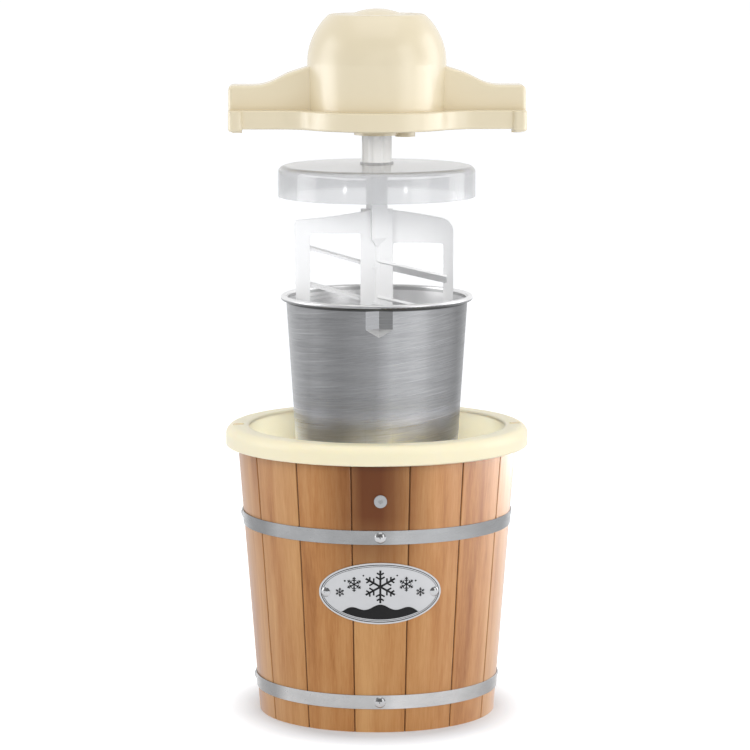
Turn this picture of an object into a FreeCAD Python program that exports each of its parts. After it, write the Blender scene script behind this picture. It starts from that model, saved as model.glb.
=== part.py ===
# Wooden bucket ice cream maker, laid out above its bucket along one upright axis.
# Every piece is drawn where it sits in the closed machine and is then raised to
# its place in the layout. Millimetres, +Z up, drain and name plate towards -Y.
import FreeCAD
import Part
import math
import os

from FreeCAD import Vector

# Layout: how far the can rises from the bucket, and the head from the can
can_display_lift = 158.0
head_display_lift = 119.0

# Bucket staves and bottom board
bucket_height = 272.0
stave_count = 15
stave_taper = 0.078
stave_thickness = 9.0
stave_gap = 0.15
stave_edge_chamfer = 1.0
bottom_height = 10.0
bottom_thickness = 10.0
croze_depth = 4.0

# Plastic liner with the overhanging rim
rim_radius = 142.4
rim_overhang = 10.18
rim_drop = 18.5
rim_edge_radius = 8.5
rim_lip_radius = 1.2
rim_inner_edge_radius = 2.0
liner_wall = 2.5
pedestal_base_radius = 34.0
pedestal_top_radius = 30.0
pedestal_height = 19.2
pivot_radius = 5.0
pivot_height = 8.0
slot_length = 10.0
slot_width = 9.0

# Hoops, rivets, name plate and drain
hoop_height = 13.0
hoop_thickness = 1.0
lower_hoop_height = 29.0
upper_hoop_height = 185.3
rivet_head_radius = 5.3
rivet_head_height = 2.6
rivet_shank_radius = 1.5
rivet_length = 6.0
rivet_count = 4
plate_width = 112.0
plate_height = 58.0
plate_thickness = 1.2
plate_centre_height = 132.7
plate_screw_offset = 50.0
plate_screw_head_radius = 4.6
plate_screw_head_height = 2.0
plate_screw_length = 7.0
drain_height = 219.4
drain_flange_radius = 5.9
drain_flange_thickness = 1.5
drain_body_radius = 4.2
drain_bore_radius = 2.5
drain_reach = 1.5
strainer_thickness = 1.0
strainer_holes = 6
strainer_circle = 1.6
strainer_hole_radius = 0.45

# Aluminium can
can_drop = 35.0
can_body_radius = 85.4
can_taper = 0.065
can_wall = 1.2
can_corner_radius = 5.0
bead_radius = 2.5
dent_width = 25.0
dent_height = 18.5
dent_close = 7.5
dent_depth = 5.2
dimple_clearance = 1.0

# Clear lid
lid_wall = 1.7
lid_skirt = 26.8
lid_dome = 2.0
lid_edge_radius = 6.5
lid_inner_edge_radius = 3.4
lid_collar_wall = 1.2
lid_collar_height = 1.5
lid_side_clearance = 0.5

# Dasher
head_radius = 14.0
flute_count = 8
flute_radius = 2.6
flute_offset = 0.8
head_below_lid = 4.0
stem_side = 15.7
stem_turn = 22.0
stem_tip_drop = 39.2
stem_tip_length = 8.5
paddle_shoulder_drop = 12.2
paddle_slope_drop = 11.0
left_window_drop = 34.0
right_window_drop = 45.4
left_arm_width = 14.1
right_arm_width = 9.6
paddle_thickness = 4.0
paddle_bulge = 16.0
arm_straight = 73.0
arm_lean = 1.5
arm_difference = 4.5
paddle_corner_radius = 5.0
right_corner_radius = 12.0
window_corner_radius = 2.0
post_width = 30.0
post_thickness = 8.0
post_rib_radius = 5.0
slat_drop = 66.8
left_slat_fall = 22.0
right_slat_fall = 17.5
right_slat_rise = 3.3
slat_pitch = 34.0
slat_width = 13.0
slat_thickness = 2.5
left_slat_tilt = -3.0
right_slat_tilt = 33.0
slat_inset = 6.0
foot_height = 23.0
foot_clearance = 5.0
dasher_turn = -3.0

# Motor housing
beam_inset = 3.8
beam_half_depth = 29.0
base_radius = 77.0
beam_blend_radius = 40.0
band_height = 17.3
band_edge_radius = 1.2
band_foot_radius = 2.0
tip_length = 13.5
tip_half_depth = 33.0
tip_foot = 2.3
tip_corner_radius = 5.0
tip_edge_radius = 2.8
peg_inset = 8.2
peg_length = 9.0
peg_width = 8.0
housing_wall = 2.5
dome_foot_radius = 64.4
dome_side_radius = 65.0
dome_side_height = 43.0
dome_arc_radius = 60.0
dome_height = 88.3
dome_corner_radius = 5.0
crown_radius = 24.0
crown_height = 5.0
vent_count = 5
vent_spacing = 17.0
vent_inner_radius = 28.0
vent_outer_radius = 44.0
vent_width = 2.5
fin_half_depth = 17.0
fin_root_height = 40.7
fin_bend_inset = 55.6
fin_bend_height = 34.0
fin_hollow_inset = 34.1
fin_tip_height = 22.8
fin_edge_radius = 4.0
fin_bend_curve = 60.0
fin_hollow_curve = 45.0
collar_radius = 21.5
collar_drop = 6.8
pad_radius = 10.0
pad_drop = 8.4
pad_floor = 1.5

# Gear train, two stages on one idler
output_teeth = 40
idler_small_teeth = 12
output_module = 1.0
idler_big_teeth = 52
pinion_teeth = 13
pinion_module = 0.8
pressure_angle = 25.0
gear_backlash = 0.12
dedendum = 1.25
flank_steps = 2
output_face = 8.0
pinion_face = 5.5
hub_radius = 17.5
hub_collar = 2.0
hub_roof = 3.7
axle_radius = 2.4
shaft_radius = 2.5

# Motor and its carrier
gear_plate_radius = 58.0
gear_plate_thickness = 2.0
carrier_gap = 2.4
post_circle = 54.0
post_radius = 4.0
motor_radius = 30.0
motor_wall = 2.0
motor_length = 39.0
bell_thickness = 4.0
bush_radius = 5.0
bush_length = 6.0
magnet_thickness = 7.0
core_radius = 18.0
core_length = 28.0
core_slots = 5
fan_radius = 27.0
fan_height = 10.0
fan_blades = 7
fan_blade_thickness = 1.5
fan_hub_wall = 3.5
gland_flange_radius = 6.5
gland_body_radius = 5.0
gland_bore_radius = 3.5
gland_flange_thickness = 2.0
screw_radius = 1.5
screw_head_radius = 3.0
screw_head_height = 2.2
boss_radius = 4.5
counterbore_depth = 8.0
pilot_depth = 6.5
post_screw_depth = 9.0
motor_screw_offset = 22.0
tip_screw_inset = 26.6
dome_screw_circle = 57.5

# Clearances
rest_clearance = 0.3
seat_clearance = 0.2
hoop_clearance = 0.05
hole_clearance = 0.1
run_clearance = 0.06
spline_clearance = 0.15
sleeve_clearance = 0.1
stem_clearance = 0.6
gear_side_clearance = 1.0
dasher_clearance = 0.8
peg_clearance = 0.1
cover_clearance = 0.15


def upright(point):
    """Puts a (radius, height) point into the XZ plane."""
    return Vector(point.x, 0, point.y)


def rounded_outline(points, place):
    """Joins (a, b) or (a, b, corner radius) points into a closed wire."""
    corners = []
    for index, point in enumerate(points):
        here = Vector(point[0], point[1], 0)
        radius = point[2] if len(point) == 3 else 0
        if radius <= 0:
            corners.append((here, None, here))
            continue
        before = points[index - 1]
        after = points[(index + 1) % len(points)]
        back = Vector(before[0], before[1], 0) - here
        ahead = Vector(after[0], after[1], 0) - here
        room = min(back.Length / len(before), ahead.Length / len(after)) * 2
        back.normalize()
        ahead.normalize()
        half = back.getAngle(ahead) / 2
        inwards = (back + ahead).normalize()
        radius = min(radius, room * math.tan(half))
        setback = radius / math.tan(half)
        middle = here + inwards * (radius / math.sin(half) - radius)
        corners.append((here + back * setback, middle, here + ahead * setback))
    edges = []
    for index, (start, middle, end) in enumerate(corners):
        if middle is not None:
            edges.append(Part.Arc(place(start), place(middle), place(end)).toShape())
        following = corners[(index + 1) % len(corners)][0]
        if (following - end).Length > 1e-6:
            edges.append(Part.LineSegment(place(end), place(following)).toShape())
    return Part.Wire(edges)


def turned(points, angle=360.0):
    """Revolves a closed (radius, height) outline about the Z axis."""
    face = Part.Face(rounded_outline(points, upright))
    return face.revolve(Vector(0, 0, 0), Vector(0, 0, 1), angle)


def cylinder(radius, low, high, x=0.0, y=0.0):
    """Upright cylinder between two heights."""
    return Part.makeCylinder(radius, high - low, Vector(x, y, low))


def tube(outer, inner, low, high, x=0.0, y=0.0):
    """Upright ring between two heights."""
    return cylinder(outer, low, high, x, y).cut(cylinder(inner, low, high, x, y))


def block(x_low, x_high, y_low, y_high, z_low, z_high):
    """Box between two corners."""
    corner = Vector(x_low, y_low, z_low)
    return Part.makeBox(x_high - x_low, y_high - y_low, z_high - z_low, corner)


def joined(shapes):
    """Fuses pieces of one moulding into one clean solid."""
    return shapes[0].fuse(shapes[1:]).removeSplitter()


def turned_copy(shape, angle):
    """Copy of a shape turned about the Z axis."""
    copy = shape.copy()
    copy.rotate(Vector(0, 0, 0), Vector(0, 0, 1), angle)
    return copy


def around(shape, count, start=0.0):
    """Copies of a shape spaced evenly about the Z axis."""
    return [turned_copy(shape, start + 360.0 * k / count) for k in range(count)]


def domed_head(radius, height):
    """Button head whose flat side lies on the plane z = 0."""
    ball_radius = (radius ** 2 + height ** 2) / (2 * height)
    ball = Part.makeSphere(ball_radius, Vector(0, 0, height - ball_radius))
    return ball.common(cylinder(radius, 0, height))


def pan_screw(length):
    """Screw with its head below z = 0 and its shank rising above."""
    head = cylinder(screw_head_radius, -screw_head_height, 0)
    return joined([head, cylinder(screw_radius, 0, length)])


def moved(shape, x, y, z):
    """Copy of a shape shifted to a place."""
    copy = shape.copy()
    copy.translate(Vector(x, y, z))
    return copy


# Bucket
front = -90.0
stave_step = 360.0 / stave_count
stave_top = bucket_height - liner_wall
stave_base_radius = rim_radius - rim_overhang - stave_taper * stave_top
floor_low = bottom_height + bottom_thickness
floor_high = floor_low + liner_wall


def stave_outer(height):
    """Outside radius of the staves at a height."""
    return stave_base_radius + stave_taper * height


def stave_inner(height):
    """Inside radius of the staves at a height."""
    return stave_outer(height) - stave_thickness


def on_cone(shape, angle, height, stand_off):
    """Turns a shape drawn along +Z to stand square on the staves' outside."""
    copy = shape.copy()
    copy.translate(Vector(0, 0, stand_off))
    tilt = 90 + math.degrees(math.atan(stave_taper))
    copy.rotate(Vector(0, 0, 0), Vector(0, 1, 0), tilt)
    copy.translate(Vector(stave_outer(height), 0, height))
    return turned_copy(copy, angle)


croze_radius = stave_inner(floor_low) + croze_depth
stave_outline = [
    (stave_outer(0), 0),
    (stave_outer(stave_top), stave_top),
    (stave_inner(stave_top), stave_top),
    (stave_inner(floor_low), floor_low),
    (croze_radius, floor_low),
    (croze_radius, bottom_height),
    (stave_inner(bottom_height), bottom_height),
    (stave_inner(0), 0),
]
gap_angle = math.degrees(stave_gap / stave_base_radius)


def plain_stave():
    """One stave with its long outside edges eased, centred on the +X axis."""
    stave = turned(stave_outline, stave_step - gap_angle)
    stave.rotate(Vector(0, 0, 0), Vector(0, 0, 1), -(stave_step - gap_angle) / 2)
    middle_radius = stave_outer(stave_top / 2)
    long_edges = []
    for edge in stave.Edges:
        centre = edge.CenterOfMass
        reach = math.hypot(centre.x, centre.y)
        if edge.Length > stave_top * 0.9 and abs(reach - middle_radius) < stave_thickness / 2:
            long_edges.append(edge)
    return stave.makeChamfer(stave_edge_chamfer, long_edges)


stave = plain_stave()
staves = [turned_copy(stave, front + stave_step * k) for k in range(stave_count)]
bucket_bottom = cylinder(croze_radius - seat_clearance, bottom_height, floor_low)


def liner_outer(height):
    """Outside radius of the liner's wall at a height."""
    return stave_inner(height) - seat_clearance


def liner_inner(height):
    """Inside radius of the liner's wall at a height."""
    return liner_outer(height) - liner_wall


pedestal_top = floor_high + pedestal_height
rim_skirt_radius = rim_radius - liner_wall
# The liner's wall, rim and floor are plain shapes that meet face to face
ice_liner = turned([
    (liner_outer(floor_high), floor_high),
    (liner_outer(stave_top), stave_top),
    (liner_inner(stave_top), stave_top),
    (liner_inner(floor_high), floor_high),
])
liner_rim = turned([
    (liner_inner(stave_top), stave_top),
    (rim_skirt_radius, stave_top, rim_edge_radius - liner_wall),
    (rim_skirt_radius, bucket_height - rim_drop),
    (rim_radius, bucket_height - rim_drop, rim_lip_radius),
    (rim_radius, bucket_height, rim_edge_radius),
    (liner_inner(bucket_height), bucket_height, rim_inner_edge_radius),
])
liner_floor = turned([
    (0, pedestal_top - liner_wall),
    (pedestal_top_radius - liner_wall, pedestal_top - liner_wall),
    (pedestal_base_radius - liner_wall, floor_low),
    (liner_outer(floor_low), floor_low),
    (liner_outer(floor_high), floor_high),
    (pedestal_base_radius, floor_high),
    (pedestal_top_radius, pedestal_top, liner_wall / 2),
    (pivot_radius, pedestal_top),
    (pivot_radius, pedestal_top + pivot_height, liner_wall / 2),
    (0, pedestal_top + pivot_height),
])
beam_half_span = rim_radius - beam_inset
slot_centre = beam_half_span - peg_inset
slot = block(
    slot_centre - slot_length / 2, slot_centre + slot_length / 2,
    -slot_width / 2, slot_width / 2, stave_top, bucket_height,
)
liner_rim = liner_rim.cut(around(slot, 2))

# Hoops with their rivets, and the holes that the rivets need in the staves
hoop_inset = stave_taper * hoop_height / 2


def hoop(centre_height):
    """Tapered steel band round the staves."""
    low = centre_height - hoop_height / 2
    high = centre_height + hoop_height / 2
    return turned([
        (stave_outer(low) + hoop_clearance, low),
        (stave_outer(low) + hoop_clearance + hoop_thickness, low),
        (stave_outer(high) + hoop_clearance + hoop_thickness, high),
        (stave_outer(high) + hoop_clearance, high),
    ])


hoop_face = hoop_clearance + hoop_thickness
rivet = joined([
    domed_head(rivet_head_radius, rivet_head_height),
    cylinder(rivet_shank_radius, -rivet_length, 0),
])
rivet_hole = cylinder(rivet_shank_radius + hole_clearance, -rivet_length - hole_clearance, hoop_face)
rivets = []
hoop_holes = []
for share in range(rivet_count):
    number = round(share * stave_count / rivet_count) % stave_count
    angle = front + stave_step * number
    for height in (lower_hoop_height, upper_hoop_height):
        rivets.append(on_cone(rivet, angle, height, hoop_face))
        hole = on_cone(rivet_hole, angle, height, hoop_face)
        hoop_holes.append(hole)
        staves[number] = staves[number].cut(hole)
hoop_rivets = Part.makeCompound(rivets)
lower_hoop = hoop(lower_hoop_height).cut(hoop_holes)
upper_hoop = hoop(upper_hoop_height).cut(hoop_holes)

# Oval name plate, bent round the staves, with two screws
plate_low = plate_centre_height - plate_height / 2 - plate_thickness
plate_high = plate_centre_height + plate_height / 2 + plate_thickness
plate_back = hoop_clearance
plate_face = plate_back + plate_thickness
plate_shell = turned([
    (stave_outer(plate_low) + plate_back, plate_low),
    (stave_outer(plate_low) + plate_face, plate_low),
    (stave_outer(plate_high) + plate_face, plate_high),
    (stave_outer(plate_high) + plate_back, plate_high),
])
oval = Part.Ellipse(Vector(0, 0, 0), plate_width / 2, plate_height / 2).toShape()
oval_prism = Part.Face(Part.Wire([oval])).extrude(Vector(0, 0, rim_radius))
oval_prism.rotate(Vector(0, 0, 0), Vector(1, 0, 0), 90)
oval_prism.translate(Vector(0, 0, plate_centre_height))
badge_plate = plate_shell.common(oval_prism)
plate_screw = joined([
    domed_head(plate_screw_head_radius, plate_screw_head_height),
    cylinder(rivet_shank_radius, -plate_screw_length, 0),
])
plate_hole = cylinder(
    rivet_shank_radius + hole_clearance, -plate_screw_length - hole_clearance, plate_face
)
screw_reach = stave_outer(plate_centre_height) + plate_face
screw_angle = math.degrees(math.asin(plate_screw_offset / screw_reach))
badge_screw_list = []
for side in (-1, 1):
    angle = front + side * screw_angle
    badge_screw_list.append(on_cone(plate_screw, angle, plate_centre_height, plate_face))
    hole = on_cone(plate_hole, angle, plate_centre_height, plate_face)
    badge_plate = badge_plate.cut(hole)
    staves = [piece.cut(hole) if piece.common(hole).Volume > 0 else piece for piece in staves]
badge_screws = Part.makeCompound(badge_screw_list)

# Drain through the front stave and the liner
drain_depth = stave_thickness + seat_clearance + liner_wall + drain_reach
strainer_hole = cylinder(strainer_hole_radius, 0, drain_flange_thickness)
drain_bush = joined([
    cylinder(drain_flange_radius, 0, drain_flange_thickness),
    cylinder(drain_body_radius, -drain_depth, 0),
]).cut([
    cylinder(drain_bore_radius, -drain_depth, drain_flange_thickness - strainer_thickness),
    strainer_hole,
] + around(moved(strainer_hole, strainer_circle, 0, 0), strainer_holes))
drain_bush = on_cone(drain_bush, front, drain_height, hoop_clearance)
drain_hole = cylinder(drain_body_radius + hole_clearance, -2 * drain_depth, drain_depth)
drain_hole = on_cone(drain_hole, front, drain_height, 0)
staves[0] = staves[0].cut(drain_hole)
ice_liner = ice_liner.cut(drain_hole)

# Can
can_bottom = pedestal_top + rest_clearance
can_top = bucket_height - can_drop
bead_height = can_top - bead_radius
dimple_radius = pivot_radius + dimple_clearance
dimple_top = pedestal_top + pivot_height + dimple_clearance


def can_outer(height):
    """Outside radius of the can's wall at a height."""
    return can_body_radius - can_taper * (bead_height - height)


def can_inner(height):
    """Inside radius of the can's wall at a height."""
    return can_outer(height) - can_wall


can_floor = can_bottom + can_wall
dimple_roof = dimple_top + can_wall
can_outside = turned([
    (0, dimple_top),
    (dimple_radius, dimple_top, dimple_clearance),
    (dimple_radius, can_bottom),
    (can_outer(can_bottom), can_bottom, can_corner_radius),
    (can_outer(bead_height), bead_height),
    (0, bead_height),
])
can_inside = turned([
    (0, dimple_roof),
    (dimple_radius + can_wall, dimple_roof, dimple_clearance + can_wall),
    (dimple_radius + can_wall, can_floor),
    (can_inner(can_floor), can_floor, can_corner_radius - can_wall),
    (can_inner(can_top), can_top),
    (0, can_top),
])
dent_top = bead_height - bead_radius
dent_low = dent_top - dent_height
dent_sag = dent_width ** 2 / (8 * can_body_radius)
dent_spread = (dent_width / 2) / (dent_depth - dent_sag)


def dent_cutter(grow):
    """V groove pressed into the can below its bead, closed by a sloping end."""
    shift = grow / math.sin(math.atan(dent_spread))
    reach = can_body_radius
    levels = [
        (dent_top + grow, dent_depth),
        (dent_low, dent_depth),
        (dent_low - 2 * dent_close, -dent_depth),
    ]
    triangles = []
    for height, depth in levels:
        crease = -(can_outer(height) - depth) + shift
        triangles.append(Part.makePolygon([
            Vector(0, crease, height),
            Vector(dent_spread * reach, crease - reach, height),
            Vector(-dent_spread * reach, crease - reach, height),
            Vector(0, crease, height),
        ]))
    return Part.makeLoft(triangles, True, True)


can_body = can_outside.cut(around(dent_cutter(0), 2)).cut(can_inside.cut(around(dent_cutter(can_wall), 2)))
bead_circle = can_body_radius + bead_radius
bead = Part.makeTorus(bead_circle, bead_radius, Vector(0, 0, bead_height), Vector(0, 0, 1))
bead_lip = tube(bead_circle, can_inner(bead_height), bead_height - bead_radius, bead_height)
can = joined([can_body, bead, bead_lip.cut(cylinder(can_inner(bead_height), 0, can_top))])

# Lid
lid_under = can_top + rest_clearance
lid_inner_radius = bead_circle + bead_radius + lid_side_clearance
lid_radius = lid_inner_radius + lid_wall
lid_hole_radius = head_radius + stem_clearance
lid_collar_radius = lid_hole_radius + lid_collar_wall
lid_top = lid_under + lid_wall
lid = turned([
    (lid_hole_radius, lid_under + lid_dome),
    (lid_inner_radius, lid_under, lid_inner_edge_radius),
    (lid_inner_radius, lid_under - lid_skirt),
    (lid_radius, lid_under - lid_skirt),
    (lid_radius, lid_top, lid_edge_radius),
    (lid_collar_radius, lid_top + lid_dome),
    (lid_collar_radius, lid_top + lid_dome + lid_collar_height),
    (lid_hole_radius, lid_top + lid_dome + lid_collar_height),
])

# Heights inside the motor housing
tip_low = bucket_height + rest_clearance
band_low = tip_low + tip_foot
band_top = band_low + band_height
housing_floor = band_low + housing_wall
flange_low = band_top - housing_wall
hub_low = band_low - collar_drop + rest_clearance
output_low = housing_floor + gear_side_clearance
output_high = output_low + output_face
hub_top = output_high + hub_collar
socket_top = hub_top - hub_roof
idler_big_low = hub_top + gear_side_clearance
idler_big_high = idler_big_low + pinion_face
carrier_low = idler_big_high + carrier_gap
carrier_high = carrier_low + gear_plate_thickness
idler_x = (output_teeth + idler_small_teeth) * output_module / 2

# Dasher
lid_low = lid_under - lid_skirt
head_low = lid_under - head_below_lid
head_top = socket_top - rest_clearance
stem_low = lid_low - stem_tip_drop
shoulder_height = lid_low - paddle_shoulder_drop
paddle_height = shoulder_height - paddle_slope_drop
arm_bend = shoulder_height - arm_straight
foot_low = can_floor + foot_clearance
foot_high = foot_low + foot_height
dent_inside = can_outer(dent_top) - dent_depth - can_wall - rest_clearance


def paddle_reach(height):
    """Largest radius that the dasher may take at a height."""
    return min(can_inner(height) - dasher_clearance, dent_inside)


def fluted_bar(grow, low, high):
    """Round bar with rounded flutes along it, as the head and its socket share."""
    bar = cylinder(head_radius + grow, low, high)
    groove = cylinder(flute_radius - grow, low, high, head_radius + flute_offset)
    return bar.cut(around(groove, flute_count, 180.0 / flute_count))


foot_reach = paddle_reach(foot_low)
left_reach = paddle_reach(arm_bend)
left_top_reach = min(left_reach + arm_lean, paddle_reach(shoulder_height))
right_reach = left_reach - arm_difference
right_top_reach = right_reach
sweep_room = turned([
    (0, foot_low),
    (foot_reach, foot_low),
    (left_reach, arm_bend),
    (left_top_reach, shoulder_height),
    (0, shoulder_height),
])


def across(points):
    """Slab with an outline in the XZ plane, deep enough to pass the whole paddle."""
    face = Part.Face(rounded_outline(points, upright))
    slab = face.extrude(Vector(0, 2 * can_body_radius, 0))
    slab.translate(Vector(0, -can_body_radius, 0))
    return slab


def wing(arm_reach, top_reach, arm_width, window_drop, corner_radius):
    """One half of the S-shaped paddle, along +X and bowed towards +Y."""
    bow_radius = (top_reach ** 2 / 4 + paddle_bulge ** 2) / (2 * paddle_bulge)
    bow = tube(
        bow_radius + paddle_thickness / 2, bow_radius - paddle_thickness / 2,
        foot_low, shoulder_height, top_reach / 2, paddle_bulge - bow_radius,
    )
    bow_half = block(0, can_body_radius, -paddle_thickness, can_body_radius, foot_low, shoulder_height)
    outline = across([
        (0, foot_low),
        (min(foot_reach, arm_reach), foot_low, paddle_corner_radius),
        (arm_reach, arm_bend),
        (top_reach, paddle_height, corner_radius),
        (0, shoulder_height),
    ])
    window_reach = arm_reach - arm_width
    window = across([
        (post_width / 2, foot_high, window_corner_radius),
        (window_reach, foot_high, window_corner_radius),
        (window_reach, lid_low - window_drop, window_corner_radius),
        (post_width / 2, lid_low - window_drop, window_corner_radius),
    ])
    return bow.common(bow_half).common(outline).common(sweep_room).cut(window)


def slat(level, side, reach, fall, tilt):
    """Sloping slat from the post to one arm, with its back edge tilted down."""
    plank = block(
        min(0, side * can_body_radius), max(0, side * can_body_radius),
        -slat_width / 2, slat_width / 2, -slat_thickness / 2, slat_thickness / 2,
    )
    plank.rotate(Vector(0, 0, 0), Vector(1, 0, 0), -tilt)
    slope = math.degrees(math.atan(fall / left_top_reach))
    plank.rotate(Vector(0, 0, 0), Vector(0, 1, 0), slope)
    plank.translate(Vector(0, 0, level))
    return plank.common(cylinder(reach - slat_inset, foot_low, shoulder_height)).common(sweep_room)


right_wing = wing(right_reach, right_top_reach, right_arm_width, right_window_drop, right_corner_radius)
left_wing = wing(left_reach, left_top_reach, left_arm_width, left_window_drop, paddle_corner_radius)
slat_top = lid_low - slat_drop
slat_count = int((slat_top - foot_high) / slat_pitch) + 1
slats = []
for number in range(slat_count):
    slat_height = slat_top - slat_pitch * number
    slats.append(slat(slat_height, -1, left_reach, left_slat_fall, left_slat_tilt))
    slats.append(slat(slat_height + right_slat_rise, 1, right_reach, right_slat_fall, right_slat_tilt))
post = block(
    -post_width / 2, post_width / 2, -post_thickness / 2, post_thickness / 2,
    foot_low, shoulder_height,
)
stem_half = stem_side / 2
stem = turned_copy(block(-stem_half, stem_half, -stem_half, stem_half, stem_low, head_low), stem_turn)
stem_end = turned_copy(Part.makePolygon([
    Vector(-stem_half, -stem_half, stem_low),
    Vector(stem_half, -stem_half, stem_low),
    Vector(stem_half, stem_half, stem_low),
    Vector(-stem_half, stem_half, stem_low),
    Vector(-stem_half, -stem_half, stem_low),
]), stem_turn)
stem_point = Part.Vertex(0, -post_rib_radius, stem_low - stem_tip_length)
stem_tip = Part.makeLoft([stem_end, stem_point], True, True)
rib = cylinder(post_rib_radius, foot_low, stem_low)
foot_socket = cylinder(
    dimple_radius + can_wall + foot_clearance / 2, can_bottom, dimple_roof + foot_clearance / 2
)
stem_head = fluted_bar(0, head_low, head_top)
dasher = joined(
    [stem, stem_tip, stem_head, rib, post, right_wing, turned_copy(left_wing, 180)] + slats
)
dasher = turned_copy(dasher.cut(foot_socket), dasher_turn)


beam_end = beam_half_span - tip_corner_radius


def beam(inset, low, high):
    """Housing plan: a round middle blended into a straight beam."""
    spread = base_radius + beam_blend_radius
    blend_y = beam_half_depth + beam_blend_radius
    blend_x = math.sqrt(spread ** 2 - blend_y ** 2)
    radius = base_radius - inset
    depth = beam_half_depth - inset
    span = beam_end - inset
    share = radius / spread
    round_x = blend_x * share
    round_y = blend_y * share
    middle = Vector(-blend_x / spread, -blend_y / spread - 1, 0).normalize()
    bend_x = blend_x + middle.x * (beam_blend_radius + inset)
    bend_y = blend_y + middle.y * (beam_blend_radius + inset)

    def line(x0, y0, x1, y1):
        return Part.LineSegment(Vector(x0, y0, low), Vector(x1, y1, low)).toShape()

    def arc(x0, y0, x1, y1, x2, y2):
        return Part.Arc(Vector(x0, y0, low), Vector(x1, y1, low), Vector(x2, y2, low)).toShape()

    edges = [
        line(span, -depth, span, depth),
        line(span, depth, blend_x, depth),
        arc(blend_x, depth, bend_x, bend_y, round_x, round_y),
        arc(round_x, round_y, 0, radius, -round_x, round_y),
        arc(-round_x, round_y, -bend_x, bend_y, -blend_x, depth),
        line(-blend_x, depth, -span, depth),
        line(-span, depth, -span, -depth),
        line(-span, -depth, -blend_x, -depth),
        arc(-blend_x, -depth, -bend_x, -bend_y, -round_x, -round_y),
        arc(-round_x, -round_y, 0, -radius, round_x, -round_y),
        arc(round_x, -round_y, bend_x, -bend_y, blend_x, -depth),
        line(blend_x, -depth, span, -depth),
    ]
    return Part.Face(Part.Wire(edges)).extrude(Vector(0, 0, high - low))


def edges_where(shape, test):
    """Edges of a shape whose two ends both pass a test."""
    chosen = []
    for edge in shape.Edges:
        if all(test(vertex.Point) for vertex in edge.Vertexes):
            chosen.append(edge)
    return chosen


def tip_block():
    """Rounded end block of the beam, with the foot that stands on the rim."""
    inner = beam_half_span - tip_length
    tip = block(inner, beam_half_span, -tip_half_depth, tip_half_depth, tip_low, band_top)
    upright_edges = [e for e in tip.Edges if abs(e.BoundBox.ZLength - (band_top - tip_low)) < 0.01]
    tip = tip.makeFillet(tip_corner_radius, upright_edges)
    return tip.makeFillet(tip_edge_radius, edges_where(tip, lambda p: abs(p.z - tip_low) < 0.01))


# Screw places in the housing, seen from above
dome_screw_x = dome_screw_circle / math.sqrt(2)
tip_screw_x = beam_half_span - tip_screw_inset
screw_places = [(tip_screw_x, 0), (-tip_screw_x, 0)]
for sign_x in (-1, 1):
    for sign_y in (-1, 1):
        screw_places.append((sign_x * dome_screw_x, sign_y * dome_screw_x))
post_x = post_circle * math.cos(math.radians(60))
post_y = post_circle * math.sin(math.radians(60))
post_places = [(post_x, post_y), (-post_x, post_y), (-post_x, -post_y), (post_x, -post_y)]

# Motor base: tray, tips, collar round the hub, pad under the idler
counterbore_top = band_low + counterbore_depth
band = beam(0, band_low, band_top)
foot_edges = edges_where(band, lambda p: abs(p.z - band_low) < 0.01)
foot_edges = [edge for edge in foot_edges if abs(edge.CenterOfMass.x) < beam_end - 0.01]
band = band.makeFillet(band_foot_radius, foot_edges)
tray = joined([band] + around(tip_block(), 2))
tray = tray.makeFillet(band_edge_radius, edges_where(tray, lambda p: abs(p.z - band_top) < 0.01))
tray = tray.cut(beam(housing_wall, housing_floor, band_top))
base_adds = [
    cylinder(collar_radius, band_low - collar_drop, housing_floor),
    cylinder(pad_radius, band_low - pad_drop, housing_floor, idler_x),
]
peg = block(
    slot_centre - peg_length / 2, slot_centre + peg_length / 2,
    -peg_width / 2, peg_width / 2, tip_low - liner_wall + peg_clearance, band_low,
)
base_adds += around(peg, 2)
base_cuts = [cylinder(hub_radius + sleeve_clearance, band_low - pad_drop, housing_floor)]
axle_low = band_low - pad_drop + pad_floor
base_cuts.append(cylinder(axle_radius, axle_low, housing_floor, idler_x))
for x, y in screw_places:
    base_adds.append(cylinder(boss_radius, band_low, flange_low, x, y))
    base_cuts.append(cylinder(screw_radius + hole_clearance, band_low, flange_low, x, y))
    base_cuts.append(cylinder(screw_head_radius + hole_clearance, band_low, counterbore_top, x, y))
for x, y in post_places:
    base_adds.append(cylinder(post_radius, band_low, carrier_low, x, y))
    base_cuts.append(cylinder(screw_radius, carrier_low - post_screw_depth, carrier_low, x, y))

# Cord gland in the back wall of the base
gland_height = (band_low + band_top) / 2
gland_hole = cylinder(gland_body_radius + hole_clearance, 0, 2 * housing_wall)
gland_length = housing_wall + 2 * gland_flange_thickness
cord_gland = joined([
    cylinder(gland_flange_radius, 0, gland_flange_thickness),
    cylinder(gland_body_radius, -gland_length, 0),
]).cut(cylinder(gland_bore_radius, -gland_length, gland_flange_thickness))


def at_back(shape):
    """Turns a shape drawn along +Z to stand out from the back wall."""
    copy = shape.copy()
    copy.rotate(Vector(0, 0, 0), Vector(1, 0, 0), -90)
    copy.translate(Vector(0, base_radius + hole_clearance, gland_height))
    return copy


cord_gland = at_back(cord_gland)
base_cuts.append(at_back(moved(gland_hole, 0, 0, -1.5 * housing_wall)))
motor_base = joined([tray] + base_adds).cut(base_cuts)


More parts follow.
